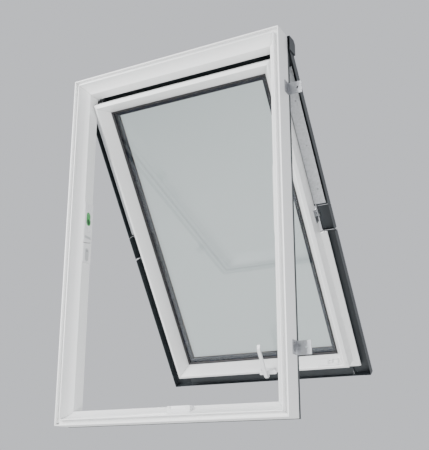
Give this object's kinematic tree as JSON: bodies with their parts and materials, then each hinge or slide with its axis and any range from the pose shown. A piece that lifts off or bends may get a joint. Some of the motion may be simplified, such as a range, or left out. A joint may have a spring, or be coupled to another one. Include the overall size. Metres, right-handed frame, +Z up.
{
  "type": "roof window",
  "caption": "Glazed roof window in a hollow-profile frame, its sash hung at the top on arms and pivoted at mid height, with a lever handle, reveal sliders and a bolt.",
  "frame": {"origin": "middle of the window opening, in the plane where the roof brackets sit on the battens", "axes": "+Z up the roof slope, towards the hinged head; +Y outwards; +X to the right as seen from the room"},
  "size_m": [0.87, 0.7586, 1.182],
  "materials": {
    "white_pvc": "white, satin smooth",
    "white_moulding": "white, fine satin",
    "anthracite_sheet": "anthracite lacquer, satin",
    "zinc_steel": "zinc plated",
    "core_steel": "plain galvanised",
    "dark_spacer": "blue-black, satin",
    "black_rubber": "matt black",
    "clear_glass": "clear",
    "green_plastic": "green, satin",
    "grey_plastic": "mid grey, satin",
    "handle_metal": "white lacquer on cast zinc"
  },
  "bodies": {
    "frame": {"frame_head": "white_pvc", "frame_sill": "white_pvc", "frame_side_left": "white_pvc", "frame_side_right": "white_pvc", "frame_cores": "core_steel", "frame_seal": "black_rubber", "frame_sheet_left": "anthracite_sheet", "frame_sheet_right": "anthracite_sheet", "frame_sheet_sill": "anthracite_sheet", "head_hood": "anthracite_sheet", "latch_striker": "white_moulding", "hinge_bracket_left": "zinc_steel", "hinge_bracket_right": "zinc_steel", "top_hinge_pins": "zinc_steel", "slider_housing_left": "white_moulding", "slider_housing_right": "white_moulding", "guide_block_left": "white_moulding", "guide_block_right": "white_moulding", "hinge_cover_left": "white_moulding", "hinge_cover_right": "white_moulding", "hinge_cover_plates": "grey_plastic", "roof_brackets": "zinc_steel"},
    "arms": {"arm_left": "zinc_steel", "arm_right": "zinc_steel", "arm_cover_left": "anthracite_sheet", "arm_cover_right": "anthracite_sheet", "pivot_cap_left": "anthracite_sheet", "pivot_cap_right": "anthracite_sheet"},
    "sash": {"sash_head": "white_pvc", "sash_sill": "white_pvc", "sash_side_left": "white_pvc", "sash_side_right": "white_pvc", "sash_cores": "core_steel", "glass_inner": "clear_glass", "glass_outer": "clear_glass", "glass_spacer": "dark_spacer", "glass_edge_seal": "black_rubber", "setting_blocks": "grey_plastic", "glazing_gasket": "black_rubber", "outer_gasket": "black_rubber", "sash_cladding_head": "anthracite_sheet", "sash_cladding_sill": "anthracite_sheet", "sash_cladding_left": "anthracite_sheet", "sash_cladding_right": "anthracite_sheet", "side_strip_left": "anthracite_sheet", "side_strip_right": "anthracite_sheet", "drip_strip": "anthracite_sheet", "sash_flange_sill": "white_pvc", "sash_flange_left": "white_pvc", "sash_flange_right": "white_pvc", "pivot_plates": "zinc_steel", "pivot_pins": "zinc_steel", "handle_base": "white_moulding", "bolt_housing": "white_moulding"},
    "handle": {"handle_lever": "handle_metal", "latch_tongue": "zinc_steel"},
    "slider_left": {"slider_left": "green_plastic"},
    "slider_right": {"slider_right": "green_plastic"},
    "sash_bolt": {"sash_bolt": "white_moulding"}
  },
  "joints": [
    {"name": "top_hung", "type": "hinge", "parent": "frame", "child": "arms", "pos_m": [0, 0.025, 0.556], "axis": [-1, 0, 0], "range_deg": [0, 35]},
    {"name": "centre_pivot", "type": "hinge", "parent": "arms", "child": "sash", "pos_m": [0, 0.34391, 0.10055], "axis": [1, 0, 0], "range_deg": [0, 155]},
    {"name": "handle_turn", "type": "hinge", "parent": "sash", "child": "handle", "pos_m": [0.04, 0.58843, -0.37768], "axis": [0, -0.8192, -0.5736], "range_deg": [0, 90]},
    {"name": "bolt_slide", "type": "slide", "parent": "sash", "child": "sash_bolt", "axis": [1, 0, 0], "range_m": [0, 0.02]},
    {"name": "slider_left_slide", "type": "slide", "parent": "frame", "child": "slider_left", "axis": [0, 0, 1], "range_m": [0, 0.0214]},
    {"name": "slider_right_slide", "type": "slide", "parent": "frame", "child": "slider_right", "axis": [0, 0, 1], "range_m": [0, 0.0214]}
  ]
}
